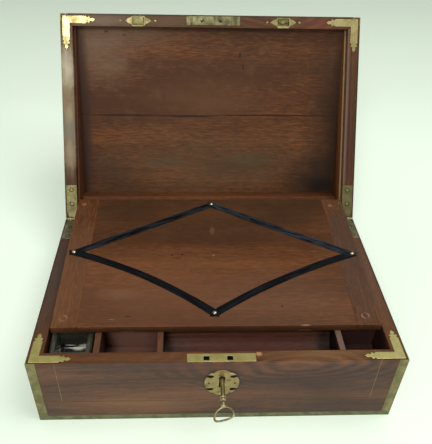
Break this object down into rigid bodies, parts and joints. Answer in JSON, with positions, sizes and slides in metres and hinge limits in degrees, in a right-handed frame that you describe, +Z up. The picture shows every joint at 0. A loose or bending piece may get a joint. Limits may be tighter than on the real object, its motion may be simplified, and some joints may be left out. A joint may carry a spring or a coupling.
{
  "type": "writing box",
  "caption": "Brass-bound wooden writing box, open, with a hinged lid, a ribboned writing flap laid over fitted trays, a glass ink well, and a lock with its key.",
  "frame": {"origin": "middle of the base's underside", "axes": "+Z up, -Y towards the lock side, +X to the right of someone facing the lock"},
  "size_m": [0.4, 0.491, 0.2934],
  "materials": {
    "rosewood_veneer": "worn waxed rosewood-like veneer, streaked",
    "mahogany": "dull waxed mahogany",
    "dark_mahogany": "dark stained wood",
    "old_brass": "dull worn brass with green-brown tarnish",
    "iron_sheet": "plain dark sheet",
    "green_glass": "thick clear glass, faintly green",
    "black_ribbon": "worn black ribbon",
    "worn_leather": "thin dark leather"
  },
  "bodies": {
    "base": {"base_front_wall": "rosewood_veneer", "base_back_wall": "rosewood_veneer", "base_left_wall": "rosewood_veneer", "base_right_wall": "rosewood_veneer", "tray_partition": "mahogany", "tray_divider_left": "mahogany", "tray_divider_middle": "mahogany", "tray_divider_right": "mahogany", "base_bottom": "dark_mahogany", "tray_floor": "dark_mahogany", "pen_tray": "dark_mahogany", "base_edge_band": "old_brass", "lock_plate": "old_brass", "escutcheon": "old_brass", "base_hinge_left": "old_brass", "base_hinge_right": "old_brass", "base_corner_plate_left": "old_brass", "base_corner_plate_right": "old_brass", "base_front_left_strap": "old_brass", "base_front_right_strap": "old_brass", "base_back_left_strap": "old_brass", "base_back_right_strap": "old_brass", "lock_case": "iron_sheet", "ink_well": "green_glass"},
    "lid": {"lid_front_wall": "rosewood_veneer", "lid_back_wall": "rosewood_veneer", "lid_left_wall": "rosewood_veneer", "lid_right_wall": "rosewood_veneer", "lid_top_veneer": "rosewood_veneer", "lid_front_board": "mahogany", "lid_back_board": "mahogany", "lid_left_lining": "mahogany", "lid_right_lining": "mahogany", "lid_back_lining": "mahogany", "lid_edge_band": "old_brass", "lock_link_plate": "old_brass", "catch_plate_left": "old_brass", "catch_plate_right": "old_brass", "lid_hinge_left": "old_brass", "lid_hinge_right": "old_brass", "lid_corner_plate_left": "old_brass", "lid_corner_plate_right": "old_brass", "lid_front_left_strap": "old_brass", "lid_front_right_strap": "old_brass", "lid_back_left_strap": "old_brass", "lid_back_right_strap": "old_brass"},
    "flap": {"flap_panel": "mahogany", "flap_clamp_left": "mahogany", "flap_clamp_right": "mahogany", "flap_stud_back": "old_brass", "flap_stud_left": "old_brass", "flap_stud_front": "old_brass", "flap_stud_right": "old_brass", "flap_ribbon": "black_ribbon"},
    "flap_hinge": {"flap_hinge_strip": "worn_leather"},
    "key": {"key": "old_brass"},
    "bolt": {"lock_bolt": "old_brass"},
    "left_catch": {"catch_left": "old_brass"},
    "right_catch": {"catch_right": "old_brass"}
  },
  "joints": [
    {"name": "lid_hinge", "type": "hinge", "parent": "base", "child": "lid", "pos_m": [0, 0.1352, 0.06397], "axis": [-1, 0, 0], "range_deg": [-114.5, 65.5]},
    {"name": "flap_shift", "type": "slide", "parent": "base", "child": "flap_hinge", "axis": [0, -0.9881, 0.1537], "range_m": [-0.0165, 0.0288]},
    {"name": "flap_lift", "type": "hinge", "parent": "flap_hinge", "child": "flap", "pos_m": [0, 0.14664, 0.0803], "axis": [-1, 0, 0], "range_deg": [0, 118.5]},
    {"name": "key_turn", "type": "hinge", "parent": "base", "child": "key", "pos_m": [0.0035, -0.135, 0.0765], "axis": [0, 1, 0], "range_deg": [-65, 25]},
    {"name": "bolt_throw", "type": "slide", "parent": "base", "child": "bolt", "axis": [-1, 0, 0], "range_m": [-0.0058, 0.0023]},
    {"name": "left_catch_slide", "type": "slide", "parent": "lid", "child": "left_catch", "axis": [0, -0.5496, -0.8354], "range_m": [0, 0.004]},
    {"name": "right_catch_slide", "type": "slide", "parent": "lid", "child": "right_catch", "axis": [0, -0.5496, -0.8354], "range_m": [0, 0.004]}
  ],
  "couplings": [
    {"joint": "flap_shift", "follows": "lid_hinge", "m_per_rad": -0.014361},
    {"joint": "bolt_throw", "follows": "key_turn", "m_per_rad": 0.005}
  ]
}
